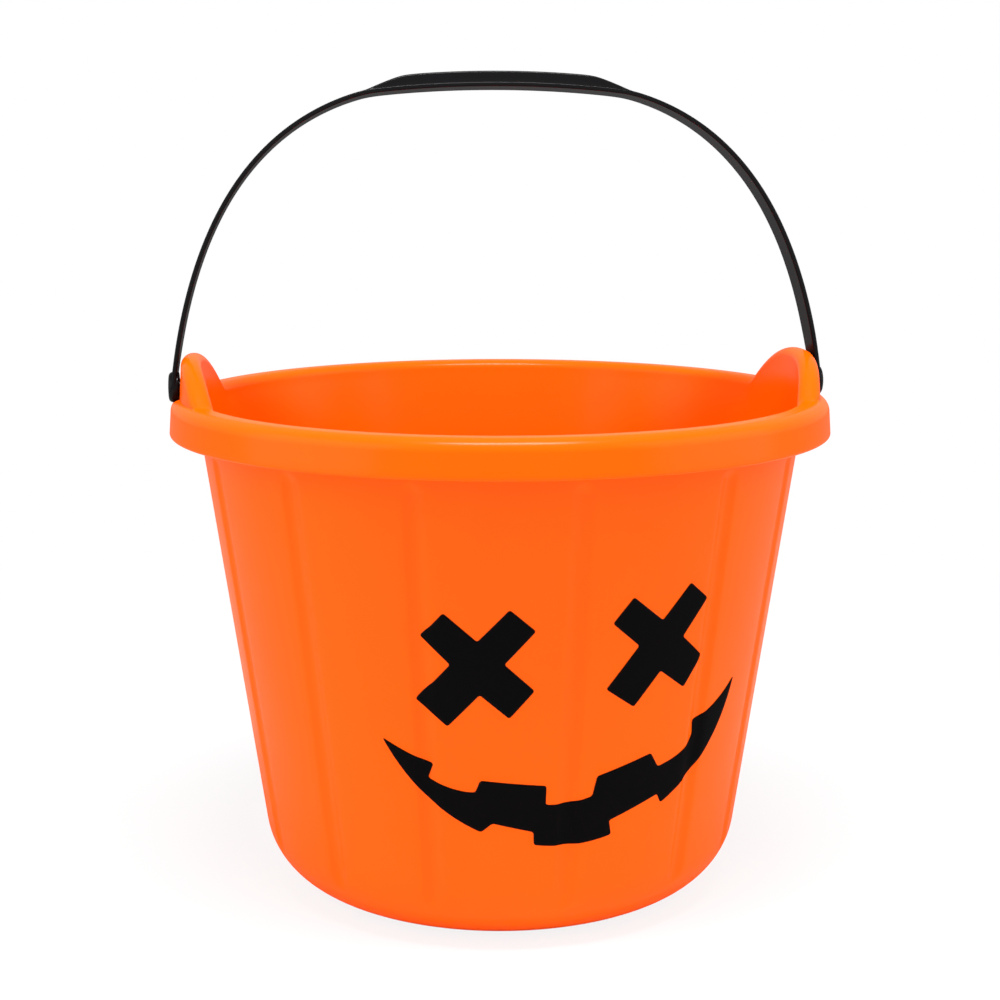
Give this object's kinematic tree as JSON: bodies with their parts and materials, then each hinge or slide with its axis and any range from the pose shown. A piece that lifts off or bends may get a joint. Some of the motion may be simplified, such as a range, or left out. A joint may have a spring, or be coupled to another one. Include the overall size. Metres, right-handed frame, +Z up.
{
  "type": "halloween candy pail",
  "caption": "Tapered, fluted plastic pail with a carved-pumpkin face, a rolled rim with raised ears, and a swinging strap handle with a grip.",
  "frame": {"origin": "the pail's own axis at the surface that it stands on, which is the middle of the bounding box's bottom", "axes": "+Z up, +X along the handle's pivots, the face towards -Y"},
  "size_m": [0.2154, 0.2152, 0.2655],
  "materials": {
    "orange_plastic": "satin orange polypropylene",
    "black_plastic": "satin black plastic",
    "black_film": "semi-gloss black film"
  },
  "bodies": {
    "pail": {"bucket": "orange_plastic", "left_eye_decal": "black_film", "right_eye_decal": "black_film", "mouth_decal": "black_film"},
    "handle": {"handle": "black_plastic"}
  },
  "joints": [
    {"name": "handle_swing", "type": "hinge", "parent": "pail", "child": "handle", "pos_m": [0, 0, 0.164], "axis": [1, 0, 0], "range_deg": [-70.5, 79.5]}
  ]
}
